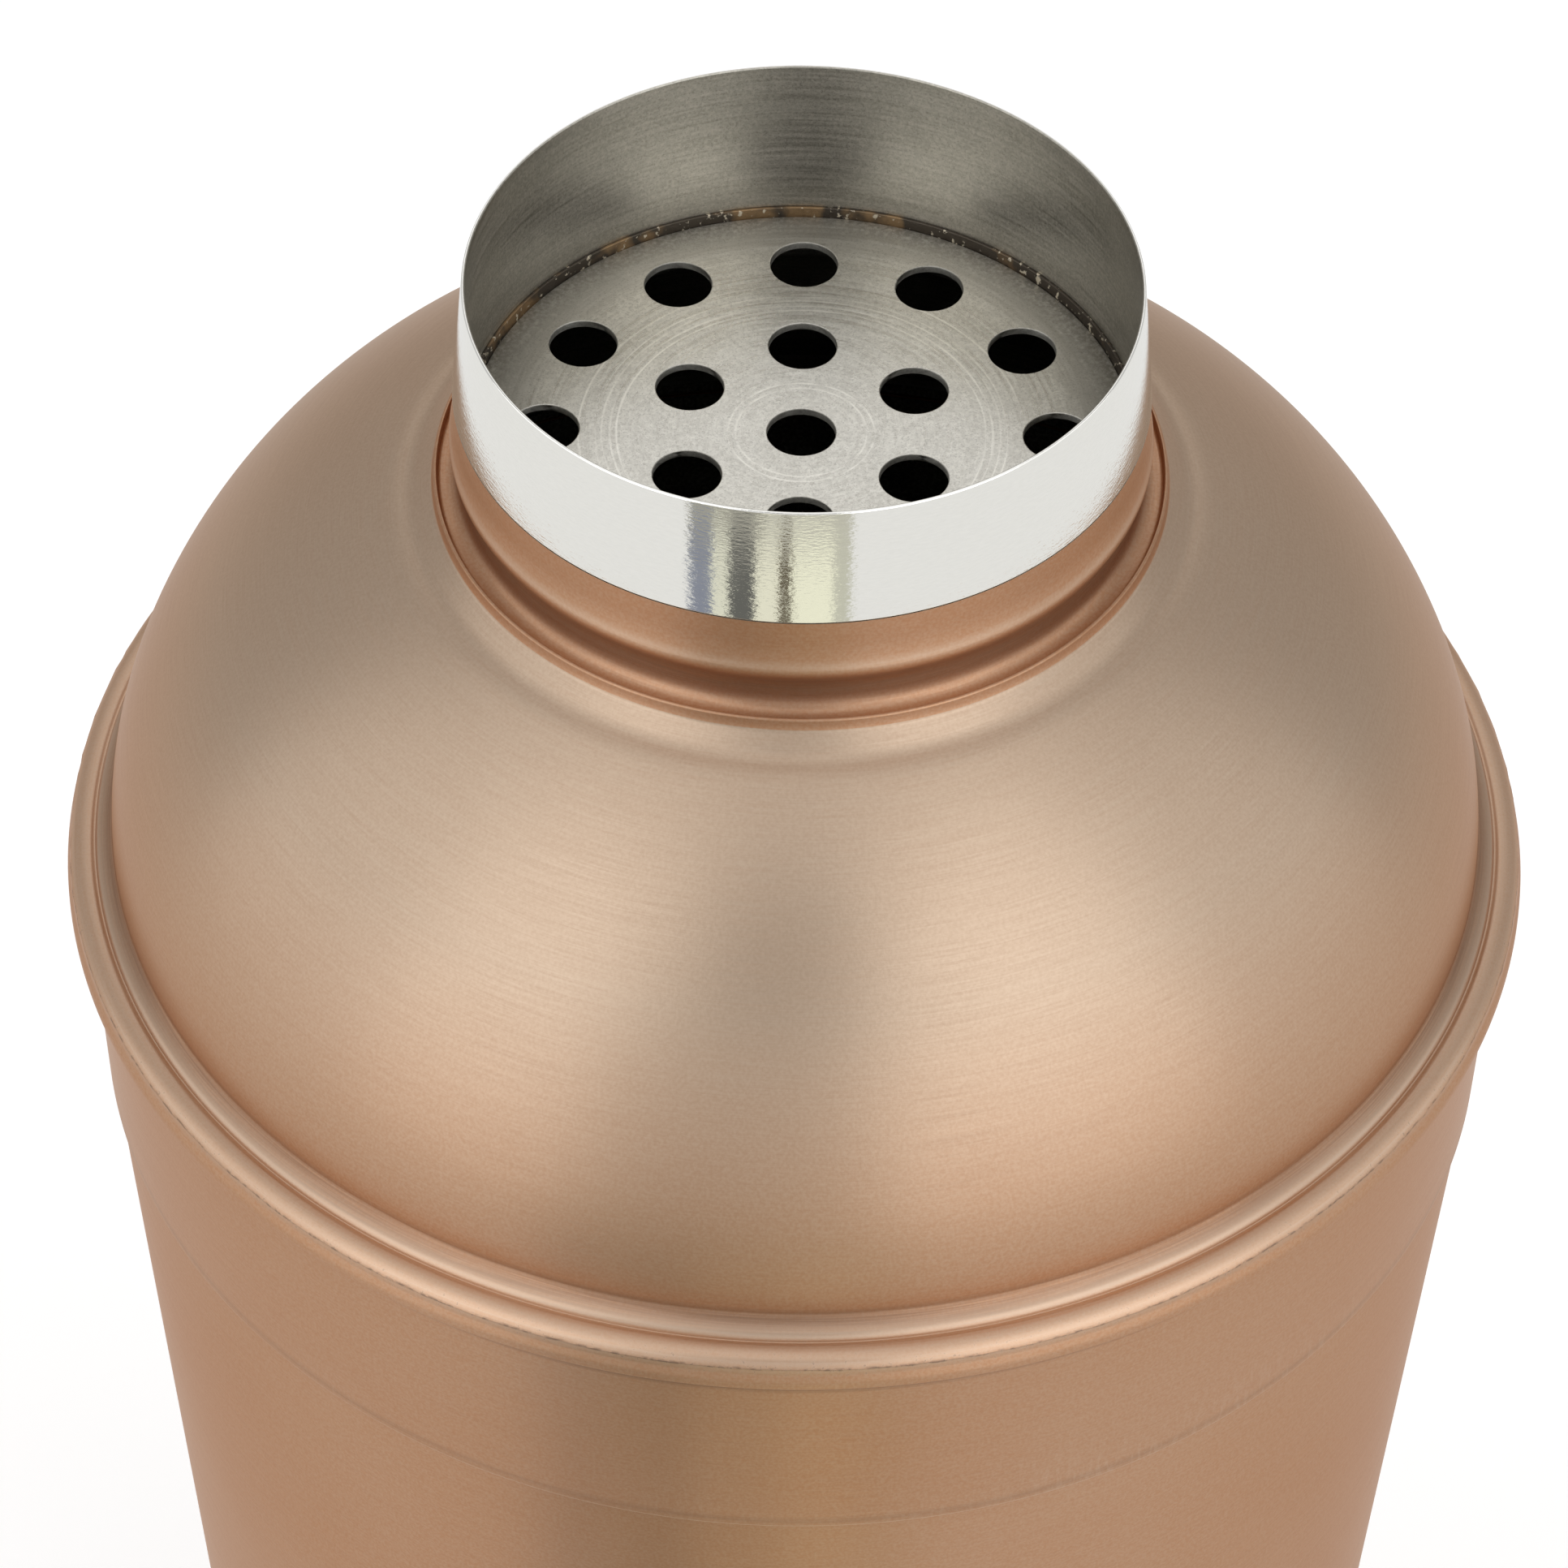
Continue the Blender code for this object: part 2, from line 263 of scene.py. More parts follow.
def turned(name, runs, body, height=FLANGE_HEIGHT, closed=True, roughness=None):
    """Turn runs of outline points, each with its material, round the axis into one smooth piece.

    roughness(place, angle) gives how far a vertex stands out from the true outline.
    """
    outline = []
    run_of = []
    for index, (points, _) in enumerate(runs):
        outline += points
        run_of += [index] * len(points)
    mesh = bmesh.new()
    rings = []
    for place in outline:
        ring = []
        for segment in range(SEGMENTS):
            angle = 2 * math.pi * segment / SEGMENTS
            radius = place.x
            if roughness and radius:
                radius += roughness(place, angle)
            x, y = radius * math.cos(angle), radius * math.sin(angle)
            ring.append(mesh.verts.new((x, y, height + place.y)))
            if place.x == 0:
                ring *= SEGMENTS
                break
        rings.append(ring)
    pairs = list(zip(rings, rings[1:], run_of))
    if closed:
        pairs.append((rings[-1], rings[0], run_of[-1]))
    for lower, upper, run in pairs:
        for segment in range(SEGMENTS):
            following = (segment + 1) % SEGMENTS
            corners = (lower[segment], lower[following], upper[following], upper[segment])
            corners = list(dict.fromkeys(corners))
            if len(corners) > 2:
                mesh.faces.new(corners).material_index = run
    bmesh.ops.recalc_face_normals(mesh, faces=mesh.faces)
    return piece(name, mesh, [material for _, material in runs], body)


def piece(name, mesh, materials, body):
    """Make a bmesh into a smooth-shaded piece that rides on a body."""
    data = bpy.data.meshes.new(name)
    mesh.to_mesh(data)
    mesh.free()
    for material in materials:
        data.materials.append(material)
    data.shade_smooth()
    data.set_sharp_from_angle(angle=math.radians(SHARP_ANGLE))
    result = bpy.data.objects.new(name, data)
    bpy.context.scene.collection.objects.link(result)
    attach(result, body)
    return result


# Material helpers

class Shading:
    """A node tree with a Principled BSDF, and short ways to add the nodes that the finishes share."""

    def __init__(self, name, colour, roughness):
        self.material = bpy.data.materials.new(name)
        self.material.use_nodes = True
        self.tree = self.material.node_tree
        self.shader = self.tree.nodes["Principled BSDF"]
        self.shader.inputs["Metallic"].default_value = 1.0
        self.shader.inputs["Roughness"].default_value = roughness
        self.shader.inputs["Base Color"].default_value = (*colour, 1.0)

    def node(self, kind, values=None, **settings):
        """A node with its properties, and its inputs as values or as links to other nodes' outputs."""
        result = self.tree.nodes.new(kind)
        for key, value in settings.items():
            setattr(result, key, value)
        for key, value in (values or {}).items():
            if isinstance(value, bpy.types.NodeSocket):
                self.tree.links.new(value, result.inputs[key])
            else:
                result.inputs[key].default_value = value
        return result

    def math(self, operation, first, second=0.0):
        return self.node("ShaderNodeMath", {0: first, 1: second}, operation=operation).outputs[0]

    def place(self):
        return self.node("ShaderNodeTexCoord").outputs["Object"]

    def noise(self, vector, scale, detail=2.0):
        values = {"Vector": vector, "Scale": scale, "Detail": detail}
        return self.node("ShaderNodeTexNoise", values).outputs["Fac"]

    def remap(self, value, low, high, to_low=0.0, to_high=1.0):
        values = {"Value": value, "From Min": low, "From Max": high, "To Min": to_low, "To Max": to_high}
        return self.node("ShaderNodeMapRange", values).outputs["Result"]

    def mix(self, factor, first, second):
        result = self.node("ShaderNodeMix", {0: factor}, data_type="RGBA")
        for socket, value in ((result.inputs[6], first), (result.inputs[7], second)):
            if isinstance(value, bpy.types.NodeSocket):
                self.tree.links.new(value, socket)
            else:
                socket.default_value = (*value, 1.0)
        return result.outputs[2]

    def link(self, output, socket):
        self.tree.links.new(output, self.shader.inputs[socket])

    def level(self):
        return self.node("ShaderNodeSeparateXYZ", {0: self.place()}).outputs[2]

    def radius(self):
        axes = self.node("ShaderNodeSeparateXYZ", {0: self.place()}).outputs
        flat = self.node("ShaderNodeCombineXYZ", {0: axes[0], 1: axes[1]}).outputs[0]
        return self.node("ShaderNodeVectorMath", {0: flat}, operation="LENGTH").outputs["Value"]

    def near(self, value, centre, reach):
        """1 where the value is at the centre, fading to 0 at reach on either side."""
        away = self.math("ABSOLUTE", self.math("SUBTRACT", value, centre))
        return self.remap(away, 0.0, reach, 1.0, 0.0)

    def lathe_marks(self, around, across, detail=3.0):
        """Noise drawn out round the axis: around is its scale along a turn, across over the turns."""
        place = self.place()
        axes = self.node("ShaderNodeSeparateXYZ", {0: place}).outputs
        radius = self.radius()
        safe = self.math("MAXIMUM", radius, 0.1 * MM)
        values = {
            0: self.math("MULTIPLY", self.math("DIVIDE", axes[0], safe), around),
            1: self.math("MULTIPLY", self.math("DIVIDE", axes[1], safe), around),
            2: self.math("MULTIPLY", self.math("SUBTRACT", axes[2], radius), across),
        }
        return self.noise(self.node("ShaderNodeCombineXYZ", values).outputs[0], 1.0, detail)

    def brushed_round(self, anisotropy):
        """Highlights drawn out across the lathe marks."""
        self.shader.inputs["Anisotropic"].default_value = anisotropy
        self.shader.inputs["Anisotropic Rotation"].default_value = 0.25
        tangent = self.node("ShaderNodeTangent", direction_type="RADIAL", axis="Z")
        self.link(tangent.outputs[0], "Tangent")

    def bump(self, height, strength, distance, normal=None):
        values = {"Height": height, "Strength": strength, "Distance": distance}
        if normal is not None:
            values["Normal"] = normal
        return self.node("ShaderNodeBump", values).outputs[0]


def copper(name, worn_and_highlit=(), painted_shade=(), pitted=None, pale=None, chatter=None):
    """Satin copper coating: fine grain, rotary brushing and a faint change of tone over the sheet.

    worn and tarnished give the level, reach and strength of lighter lines, partly wear and partly painted
    highlight, and of darker lines of painted shade. The pitted level is broken by dark dashes, pale is the
    pair of levels between which the copper turns paler upwards as a painted highlight, and chatter is the
    level of an edge with short marks standing on it.
    """
    look = Shading(name, COPPER_TONE, 0.42)
    level = look.level()
    brushing = look.lathe_marks(*COPPER_BRUSHING)
    grain = look.noise(look.place(), COPPER_GRAIN, 3.0)
    patches = look.noise(look.place(), COPPER_PATCHES)
    tone = COPPER_TONE
    # The copper turns paler upwards between the pale levels: a painted highlight where the dome faces the
    # lights
    if pale:
        tone = look.mix(look.remap(level, *pale), tone, COPPER_PAINTED_HIGHLIGHT)
    tone = look.mix(look.remap(patches, 0.35, 0.65, 0.0, 0.12), tone, COPPER_RUBBED_AND_HIGHLIT)
    tone = look.mix(look.remap(brushing, 0.3, 0.7, 0.0, 0.14), tone, COPPER_DARK)
    tone = look.mix(look.remap(grain, 0.35, 0.65, 0.0, 0.20), tone, COPPER_RUBBED_AND_HIGHLIT)
    # Lighter lines, partly wear and partly painted highlight, then darker lines of painted shade
    for colour, lines in ((COPPER_RUBBED_AND_HIGHLIT, worn_and_highlit), (COPPER_PAINTED_SHADE, painted_shade)):
        for place, reach, strength in lines:
            uneven = look.remap(brushing, 0.2, 0.6, 0.5 * strength, strength)
            tone = look.mix(look.math("MULTIPLY", look.near(level, place, reach), uneven), tone, colour)
    if pitted:
        broken = look.remap(look.lathe_marks(*SEAM_DASHES), 0.48, 0.6, 0.15, 0.75)
        pits = look.math("MULTIPLY", look.near(level, pitted, 0.14 * MM), broken)
        tone = look.mix(pits, tone, COPPER_PIT)
        specks = look.math("MULTIPLY", look.near(level, pitted, 0.9 * MM), look.remap(grain, 0.64, 0.70))
        tone = look.mix(look.math("MULTIPLY", specks, 0.45), tone, COPPER_PIT)
    if chatter:
        strokes = look.lathe_marks(*CHATTER_MARKS, 1.0)
        standing = look.math("MULTIPLY", look.near(level, chatter, 5.0 * MM), look.remap(patches, 0.45, 0.6))
        shown = look.math("MULTIPLY", standing, look.remap(strokes, 0.5, 0.62))
        tone = look.mix(look.math("MULTIPLY", shown, 0.16), tone, COPPER_RUBBED_AND_HIGHLIT)
    look.link(tone, "Base Color")
    look.link(look.remap(brushing, 0.25, 0.75, 0.36, 0.46), "Roughness")
    look.shader.inputs["Coat Weight"].default_value = COAT_WEIGHT
    look.shader.inputs["Coat Roughness"].default_value = COAT_ROUGHNESS
    look.shader.inputs["Coat IOR"].default_value = COAT_IOR
    look.shader.inputs["Specular Tint"].default_value = (*COPPER_EDGE, 1.0)
    look.brushed_round(0.55)
    normal = look.bump(grain, 0.25, 0.02 * MM)
    look.link(look.bump(brushing, 0.2, 0.01 * MM, normal), "Normal")
    return look.material


def bright_steel(name):
    """Mirror-polished stainless steel with the faintest rotary polish marks."""
    look = Shading(name, STEEL_TONE, 0.07)
    polish = look.lathe_marks(*POLISH_MARKS)
    smears = look.noise(look.place(), POLISH_SMEARS)
    look.link(look.remap(smears, 0.4, 0.75, 0.04, 0.10), "Roughness")
    dull = [0.97 * value for value in STEEL_TONE]
    look.link(look.mix(look.remap(polish, 0.3, 0.7), dull, STEEL_TONE), "Base Color")
    look.link(look.bump(polish, 1.0, 0.01 * MM), "Normal")
    return look.material


def satin_steel(name, dark, light, roughness, turned_rings=(), darker_margin=None):
    """Brushed stainless steel with rotary marks, specks, a few clearer turned rings and a margin that turns
    darker and rougher.

    turned_rings are radii, and the margin is given as the pair of radii between which the steel turns darker
    and rougher.
    """
    look = Shading(name, light, roughness)
    marks = look.lathe_marks(*STEEL_BRUSHING, 4.0)
    grain = look.noise(look.place(), STEEL_GRAIN, 4.0)
    tone = look.mix(look.remap(marks, 0.3, 0.7), dark, light)
    blotches = look.noise(look.place(), STEEL_BLOTCHES, 4.0)
    tone = look.mix(look.remap(blotches, 0.4, 0.62, 0.0, 0.35), tone, dark)
    tone = look.mix(look.remap(grain, 0.42, 0.66, 0.0, 0.35), tone, [1.3 * value for value in light])
    pores = look.noise(look.place(), STEEL_PORES, 3.0)
    tone = look.mix(look.remap(pores, 0.36, 0.46, 0.35, 0.0), tone, [0.5 * value for value in dark])
    for radius in turned_rings:
        broken = look.remap(marks, 0.35, 0.6)
        line = look.math("MULTIPLY", look.near(look.radius(), radius, 0.10 * MM), broken)
        tone = look.mix(look.math("MULTIPLY", line, 0.6), tone, [1.4 * value for value in light])
    # Darker and rougher towards the plate's edge
    if darker_margin:
        uneven = look.remap(grain, 0.3, 0.6, 0.5, 1.0)
        margin = look.math("MULTIPLY", look.remap(look.radius(), *darker_margin), uneven)
        tone = look.mix(margin, tone, MARGIN_DARK)
    look.link(tone, "Base Color")
    dull = look.remap(marks, 0.25, 0.75, roughness - 0.05, roughness + 0.08)
    if darker_margin:
        dull = look.math("ADD", dull, look.math("MULTIPLY", margin, 0.25))
    look.link(dull, "Roughness")
    look.brushed_round(0.6)
    normal = look.bump(grain, 0.3, 0.02 * MM)
    look.link(look.bump(marks, 0.4, 0.012 * MM, normal), "Normal")
    return look.material


def crevice_steel(name):
    """The plate's pressed-in edge: coloured dark, with bright and brownish specks."""
    look = Shading(name, CREVICE_DARK, 0.45)
    specks = look.noise(look.place(), CREVICE_SPECKS, 4.0)
    stains = look.noise(look.place(), CREVICE_STAINS, 3.0)
    tone = look.mix(look.remap(stains, 0.5, 0.62), CREVICE_DARK, CREVICE_BROWN)
    look.link(look.mix(look.remap(specks, 0.60, 0.66), tone, CREVICE_SPECK), "Base Color")
    look.link(look.remap(specks, 0.3, 0.7, 0.35, 0.6), "Roughness")
    look.link(look.bump(specks, 0.8, 0.05 * MM), "Normal")
    return look.material


# Pieces

def tumbler():
    rim = MOUTH_TOP
    shoulder = FLANGE_HEIGHT - SKIRT_LENGTH - SEAM
    base_radius = BODY_TOP_RADIUS - BODY_SLOPE * shoulder
    corner_centre = (base_radius - BASE_CORNER, BASE_CORNER)
    foot_inside = corner_centre[0] - FOOT_WIDTH
    recess_radius = foot_inside - RECESS_SLOPE_WIDTH
    side_foot = base_radius + SIDE_EASE
    mouth_radius = MOUTH_RADIUS - SEAM
    taper = math.degrees(math.atan(BODY_SLOPE))
    outside = rounded([(0, RECESS_DEPTH, 0), (recess_radius, RECESS_DEPTH, 1.2 * MM),
                       (foot_inside, 0, 1.0 * MM), (foot_inside + FOOT_POINT, 0, 0)])
    outside += arc(corner_centre, BASE_CORNER, -90, -taper, 16)
    outside += rounded([(side_foot, SIDE_START, 0), (BODY_TOP_RADIUS, shoulder, 0.3 * MM),
                        (mouth_radius, shoulder, 0.04 * MM), (mouth_radius, rim, EDGE),
                        (MOUTH_RADIUS - WALL, rim, 0)])
    inside = rounded([(MOUTH_RADIUS - WALL, rim - EDGE, 0), (MOUTH_RADIUS - WALL, shoulder - WALL, 0.5 * MM),
                      (BODY_TOP_RADIUS - WALL, shoulder - 2 * WALL, 0.5 * MM),
                      (side_foot - WALL, SIDE_START, 0)])
    inside += arc(corner_centre, BASE_CORNER - WALL, -taper, -90, 12)
    inside += rounded([(foot_inside, WALL, 0), (foot_inside - WALL / 2, WALL, 0.8 * MM),
                       (recess_radius - WALL / 2, RECESS_DEPTH + WALL, 0.8 * MM),
                       (0, RECESS_DEPTH + WALL, 0)])
    runs = [(outside, BODY_COPPER), (inside, SATIN)]
    shell = turned("tumbler_shell", runs, "tumbler", height=0.0, closed=False)
    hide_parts("tumbler")


def seam_roughness(place, angle):
    """The crimped edge wavers by a few hundredths of a millimetre along the flange."""
    near = max(0.0, 1 - abs(place.y - SEAM_EDGE.y) / SEAM_REACH)
    turn = Vector((math.cos(angle), math.sin(angle), 0))
    return near * SEAM_WAVER * (noise.noise(turn * 60) + 0.6 * noise.noise(turn * 220))


def skirt():
    ledge = SKIRT_TOP_RADIUS - WALL - LEDGE_WIDTH
    top_inside = SKIRT_TOP_RADIUS - WALL
    foot_inside = SKIRT_FOOT_RADIUS - WALL
    outside = [Vector((ledge, LEDGE_TOP)), SEAM_EDGE - 1.05 * SEAM_TUCK]
    outside += rounded([(SEAM_EDGE.x, SEAM_EDGE.y - 0.01 * MM, 0),
                        (SEAM_EDGE.x + 0.04 * MM, 1.15 * MM, 0.1 * MM),
                        (FLANGE_RADIUS, 0.55 * MM, 0.2 * MM), (FLANGE_RADIUS, 0.05 * MM, 0.06 * MM),
                        (SKIRT_TOP_RADIUS, -0.2 * MM, 0.2 * MM),
                        (SKIRT_TOP_RADIUS, SKIRT_SHOULDER, 0.3 * MM),
                        (SKIRT_FOOT_RADIUS, -SKIRT_LENGTH, 0.06 * MM), (foot_inside, -SKIRT_LENGTH, 0)])
    inside = rounded([(foot_inside, -SKIRT_LENGTH, 0), (top_inside, SKIRT_SHOULDER, 0),
                      (top_inside, LEDGE_FOOT, 0), (ledge, LEDGE_FOOT, 0)])
    runs = [(outside, SKIRT_COPPER), (inside, SATIN)]
    band = turned("skirt_band", runs, "lid", roughness=seam_roughness)
    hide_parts("skirt_ring")


def dome():
    neck_top = PLATING_LINE - SEAM
    neck_part = rounded([(NECK_FOOT_RADIUS, neck_top, 0), (NECK_FOOT_RADIUS, NECK_STRAIGHT_FOOT, 1.0 * MM),
                         (*NECK_RIDGE, 0.45 * MM), (NECK_GROOVE_RADIUS, NECK_GROOVE_TOP, 0.5 * MM),
                         (NECK_GROOVE_RADIUS, NECK_GROOVE_FOOT, 1.1 * MM),
                         (COLLAR_TOP[0] - 0.1 * MM, NECK_GROOVE_FOOT, 0.2 * MM), (*COLLAR_TOP, 0.07 * MM),
                         (*COLLAR_EDGE, 0.1 * MM), (*COLLAR_SIDE, 0)], 8)
    outside = rounded([(*COLLAR_SIDE, 0), (*COLLAR_FOOT, 0.12 * MM), (*SHOULDER_HOLLOW, 0.5 * MM),
                       (*SHOULDER_RING, 0.5 * MM),
                       (*on_circle(DOME_CENTRE, DOME_RADIUS, DOME_TOP_ANGLE), 0.4 * MM),
                       (*on_circle(DOME_CENTRE, DOME_RADIUS, DOME_TOP_ANGLE - 2), 0)], 8)[1:]
    outside += arc(DOME_CENTRE, DOME_RADIUS, DOME_TOP_ANGLE - 2.5, DOME_BEND_ANGLE, 56)
    outside += curve(outside[-1], DOME_FOOT + DOME_FOOT_BEND, DOME_FOOT, 16)[1:]
    outside += curve(DOME_FOOT, CREASE, on_circle(BEAD_CENTRE, BEAD_RADIUS, BEAD_TOP_ANGLE), 8)[1:]
    outside += arc(BEAD_CENTRE, BEAD_RADIUS, BEAD_TOP_ANGLE - 4, BEAD_FOOT_ANGLE, 8)
    outside += curve(outside[-1], GROOVE, ROLL_START, 6)[1:]
    outside += curve(ROLL_START, ROLL_SHOULDER, SEAM_EDGE, 16)[1:]
    outside.append(SEAM_EDGE - SEAM_TUCK)
    foot_inside = DOME_FOOT - Vector((WALL, 0))
    bend_inside = on_circle(DOME_CENTRE, DOME_RADIUS - WALL, DOME_BEND_ANGLE)
    inside = [Vector((foot_inside.x, 1.0 * MM)), foot_inside]
    inside += curve(foot_inside, foot_inside + DOME_FOOT_BEND, bend_inside, 8)[1:]
    inside += arc(DOME_CENTRE, DOME_RADIUS - WALL, DOME_BEND_ANGLE + 1, DOME_INSIDE_TOP_ANGLE, 36)
    inside += rounded([(21.5 * MM, 30.6 * MM, 0), (NECK_GROOVE_INSIDE, 30.7 * MM, 0.9 * MM),
                       (NECK_GROOVE_INSIDE, 33.3 * MM, 0.3 * MM), (NECK_BORE, 33.6 * MM, 0.2 * MM),
                       (NECK_BORE, neck_top, 0)])
    runs = [(neck_part, NECK_COPPER), (outside, DOME_COPPER), (inside, SHADED_INSIDE)]
    shell = turned("dome_shell", runs, "lid", roughness=seam_roughness)
    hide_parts("strainer_dome")


def neck():
    """The polished ring, whose steel lining runs down inside the copper neck to the strainer."""
    lip_centre = (RIM_RADIUS - RIM_THICKNESS / 2, RIM_HEIGHT - RIM_THICKNESS / 2)
    foot = PLATE_TOP + PLATE_RIM
    back = NECK_BORE - LINER / 2
    outside = rounded([(back, foot, 0), (back, PLATING_LINE, 0), (NECK_FOOT_RADIUS, PLATING_LINE, 0.05 * MM),
                       (RIM_RADIUS, lip_centre[1], 0)])[:-1]
    outside += arc(lip_centre, RIM_THICKNESS / 2, 0, 80, 6)
    inside = arc(lip_centre, RIM_THICKNESS / 2, 100, 180, 6) + [Vector((back - LINER, foot))]
    ring = turned("neck_collar", [(outside, BRIGHT), (inside, SHADED_INSIDE)], "lid")
    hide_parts("neck_ring")


def hole_centres():
    centres = []
    for count, circle, phase in HOLE_RINGS:
        for number in range(count):
            centres.append(on_circle((0, 0), circle, phase + 360 * number / count))
    return centres


def circle_spline(data, centre, radius, points, clockwise=False):
    """A closed polygon spline; inner ones that run the other way leave holes in the fill."""
    spline = data.splines.new("POLY")
    spline.points.add(points - 1)
    spline.use_cyclic_u = True
    for index, point in enumerate(spline.points):
        turn = -360 * index / points if clockwise else 360 * index / points
        place = on_circle(centre, radius, turn)
        point.co = (place.x, place.y, 0, 1)


def plate():
    """The punched disc, with softened hole edges, and its turned-up edge."""
    data = bpy.data.curves.new("strainer_disc", "CURVE")
    data.dimensions = "2D"
    data.fill_mode = "BOTH"
    data.extrude = PLATE_THICKNESS / 2 - HOLE_EDGE
    data.bevel_depth = HOLE_EDGE
    data.bevel_resolution = 3
    data.offset = -HOLE_EDGE
    circle_spline(data, (0, 0), PLATE_RADIUS, 180)
    for centre in hole_centres():
        circle_spline(data, centre, HOLE_RADIUS, 72, clockwise=True)
    maker = bpy.data.objects.new("disc_maker", data)
    bpy.context.scene.collection.objects.link(maker)
    graph = bpy.context.evaluated_depsgraph_get()
    shape = bpy.data.meshes.new_from_object(maker.evaluated_get(graph))
    bpy.data.objects.remove(maker)
    shape.transform(Matrix.Translation((0, 0, FLANGE_HEIGHT + PLATE_TOP - PLATE_THICKNESS / 2)))
    mesh = bmesh.new()
    mesh.from_mesh(shape)
    for face in mesh.faces:
        face.material_index = int(abs(face.normal.z) < 0.95)
    disc = piece("strainer_disc", mesh, [SATIN, PUNCHED], "lid")
    disc.modifiers.new("flat_faces", "WEIGHTED_NORMAL").keep_sharp = True

    edge = PLATE_RADIUS + PLATE_EDGE_WIDTH
    under = PLATE_TOP - PLATE_THICKNESS
    below = rounded([(PLATE_RADIUS, under, 0), (edge, under, 0.2 * MM), (edge, PLATE_TOP, 0)])
    rim_top = PLATE_TOP + PLATE_RIM
    turned_up = rounded([(edge, rim_top, 0), (edge - PLATE_EDGE_WIDTH / 2, rim_top, 0.05 * MM),
                         (PLATE_RADIUS, PLATE_TOP - 0.05 * MM, 0)])
    rim = turned("strainer_edge", [(below, SATIN), (turned_up, CREVICE)], "lid")
    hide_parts("strainer_plate")


# Stage

def camera():
    """At the photograph's place: 45 degrees above the rim, on a long lens, a little off level."""
    data = bpy.data.cameras.new("camera")
    data.sensor_width = 36.0
    data.lens = CAMERA_LENS
    result = bpy.data.objects.new("camera", data)
    bpy.context.scene.collection.objects.link(result)
    place = Matrix.Translation((0, -CAMERA_OUT, FLANGE_HEIGHT + CAMERA_UP))
    yaw = Matrix.Rotation(math.radians(CAMERA_YAW), 4, "Z")
    pitch = Matrix.Rotation(math.radians(CAMERA_PITCH), 4, "X")
    roll = Matrix.Rotation(math.radians(CAMERA_ROLL), 4, "Z")
    result.matrix_world = place @ yaw @ pitch @ roll
    bpy.context.scene.camera = result


def plain(name, colour, glow):
    """A matt stage material that also glows in its colour."""
    material = bpy.data.materials.new(name)
    material.use_nodes = True
    shader = material.node_tree.nodes["Principled BSDF"]
    shader.inputs["Base Color"].default_value = (*colour, 1)
    shader.inputs["Roughness"].default_value = 1.0
    shader.inputs["Specular IOR Level"].default_value = 0.0
    shader.inputs["Emission Color"].default_value = (*colour, 1)
    shader.inputs["Emission Strength"].default_value = glow
    return material


def glowing(name, colour):
    """A light of one colour, which reflects nothing."""
    material = plain(name, colour, 1.0)
    material.node_tree.nodes["Principled BSDF"].inputs["Base Color"].default_value = (0, 0, 0, 1)
    return material


def stage_piece(name, corners, faces, material):
    mesh = bpy.data.meshes.new(name)
    mesh.from_pydata(corners, [], faces)
    mesh.materials.append(material)
    result = bpy.data.objects.new(name, mesh)
    bpy.context.scene.collection.objects.link(result)
    return result


def floor():
    corners = [(-FLOOR_SIZE, -FLOOR_SIZE, 0), (FLOOR_SIZE, -FLOOR_SIZE, 0),
               (FLOOR_SIZE, FLOOR_SIZE, 0), (-FLOOR_SIZE, FLOOR_SIZE, 0)]
    stage_piece("floor", corners, [(0, 1, 2, 3)], plain("floor", FLOOR_TONE, FLOOR_GLOW))


def floor_card(name, start, end, near, far, colour, lift=CARD_LIFT):
    """A card on the floor that only reflections show, between two bearings."""
    corners = []
    steps = max(2, round((end - start) / CARD_STEP))
    for step in range(steps + 1):
        bearing = math.radians(start + (end - start) * step / steps)
        outward = Vector((math.sin(bearing), -math.cos(bearing), 0))
        corners.append(outward * near + Vector((0, 0, lift)))
        corners.append(outward * far + Vector((0, 0, lift)))
    faces = [(2 * step, 2 * step + 1, 2 * step + 3, 2 * step + 2) for step in range(steps)]
    result = stage_piece(name, corners, faces, glowing(name, colour))
    result.visible_camera = False
    result.visible_shadow = False
    result.visible_diffuse = False


def table():
    """The table round the shaker, and the tent's opening, as its polished and brushed metal shows them."""
    floor_card("table", -180, 180, *TABLE_REACH, TABLE_TONE)
    for number, (start, end, near, far, colour) in enumerate(OPENING):
        floor_card(f"opening_{number}", start, end, near, far, colour, 2 * CARD_LIFT)


def panel(name, start, end, low, high, radiance):
    """A panel of the light tent: the part of a sphere between two bearings and two elevations."""
    corners = []
    for row in range(PANEL_STEPS + 1):
        elevation = math.radians(low + (high - low) * row / PANEL_STEPS)
        for column in range(PANEL_STEPS + 1):
            bearing = math.radians(start + (end - start) * column / PANEL_STEPS)
            across = math.cos(elevation)
            outward = Vector((across * math.sin(bearing), -across * math.cos(bearing), math.sin(elevation)))
            corners.append(outward * TENT_RADIUS + Vector((0, 0, FLANGE_HEIGHT)))
    faces = []
    for row in range(PANEL_STEPS):
        for column in range(PANEL_STEPS):
            first = row * (PANEL_STEPS + 1) + column
            faces.append((first, first + 1, first + PANEL_STEPS + 2, first + PANEL_STEPS + 1))
    result = stage_piece(name, corners, faces, glowing(name, (radiance, radiance, radiance)))
    result.visible_camera = False


def lights():
    world = bpy.data.worlds.new("studio")
    world.use_nodes = True
    world.node_tree.nodes["Background"].inputs[0].default_value = (1, 1, 1, 1)
    world.node_tree.nodes["Background"].inputs[1].default_value = 1.0
    bpy.context.scene.world = world
    for settings in TENT:
        panel(*settings)


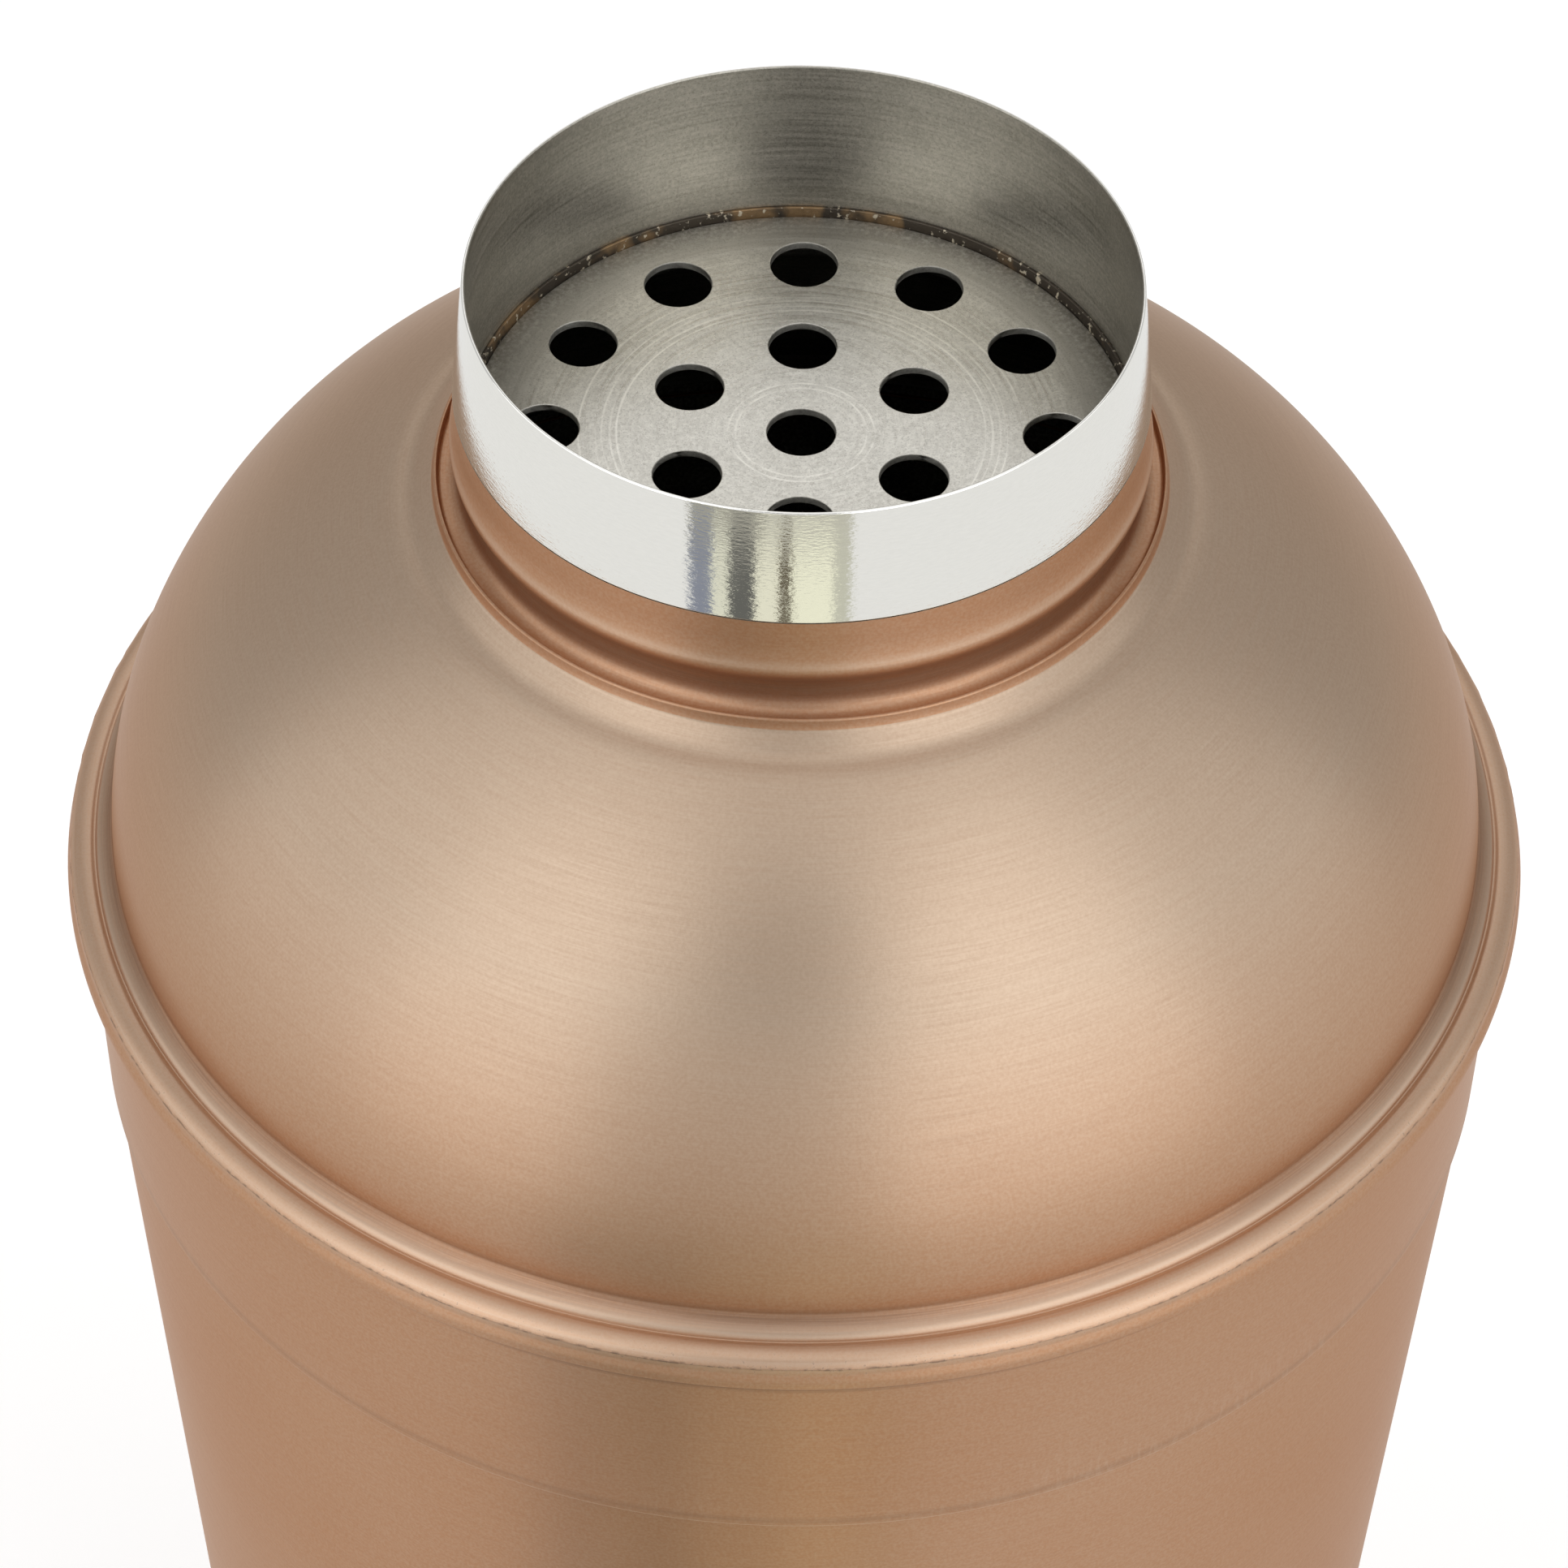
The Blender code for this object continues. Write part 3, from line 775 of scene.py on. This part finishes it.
FOOT_LEVEL = FLANGE_HEIGHT - SKIRT_LENGTH
SEAM_LEVEL = FLANGE_HEIGHT + SEAM_EDGE.y
BODY_COPPER = copper("body_copper")
SKIRT_COPPER = copper("skirt_copper",
                      # Lighter lines on the flange top and along the lower edge: partly wear, partly painted
                      # highlight
                      worn_and_highlit=[(FLANGE_HEIGHT + 1.5 * MM, 0.5 * MM, 0.4), (FOOT_LEVEL, 0.12 * MM, 0.9)],
                      # Darker lines of painted shade: the shadow under the flange, and a fainter shade line
                      # just above the lower edge
                      painted_shade=[(FLANGE_HEIGHT - 1.15 * MM, 0.5 * MM, 0.8),
                                 (FOOT_LEVEL + 0.5 * MM, 0.5 * MM, 0.3)],
                      pitted=SEAM_LEVEL, chatter=FOOT_LEVEL)
DOME_COPPER = copper("dome_copper",
                     # Lighter lines on the bead and the roll: partly wear, partly painted highlight
                     worn_and_highlit=[(FLANGE_HEIGHT + 2.6 * MM, 0.6 * MM, 0.8),
                           (FLANGE_HEIGHT + 1.9 * MM, 0.5 * MM, 0.6)],
                     # Darker line of painted shade in the crease above the bead
                     painted_shade=[(FLANGE_HEIGHT + 3.15 * MM, 0.75 * MM, 0.8)],
                     # Paler upwards between the pale levels: a painted highlight
                     pitted=SEAM_LEVEL, pale=(FLANGE_HEIGHT + 4 * MM, FLANGE_HEIGHT + 21 * MM))
# The lighter line at the neck ridge is a painted highlight
NECK_COPPER = copper("neck_copper", worn_and_highlit=[(FLANGE_HEIGHT + 34.95 * MM, 0.5 * MM, 0.4)],
                     # Darker band of painted shade in the groove below the ridge
                     painted_shade=[(FLANGE_HEIGHT + 32.8 * MM, 1.7 * MM, 0.65)])
BRIGHT = bright_steel("bright_steel")
SATIN = satin_steel("plate_steel", (0.54, 0.52, 0.47), (0.72, 0.70, 0.64), 0.28, PLATE_RINGS, PLATE_DARKER_MARGIN)
# A darker copy of the plate steel: painted shade inside the neck and the dome
SHADED_INSIDE = satin_steel("shaded_inside_steel", (0.36, 0.345, 0.30), (0.52, 0.495, 0.44), 0.36)
PUNCHED = satin_steel("punched_steel", (0.34, 0.33, 0.30), (0.46, 0.45, 0.41), 0.55)
CREVICE = crevice_steel("crevice_steel")

tumbler()
skirt()
dome()
neck()
plate()
camera()
floor()
table()
lights()
bpy.context.scene.view_settings.view_transform = "Standard"
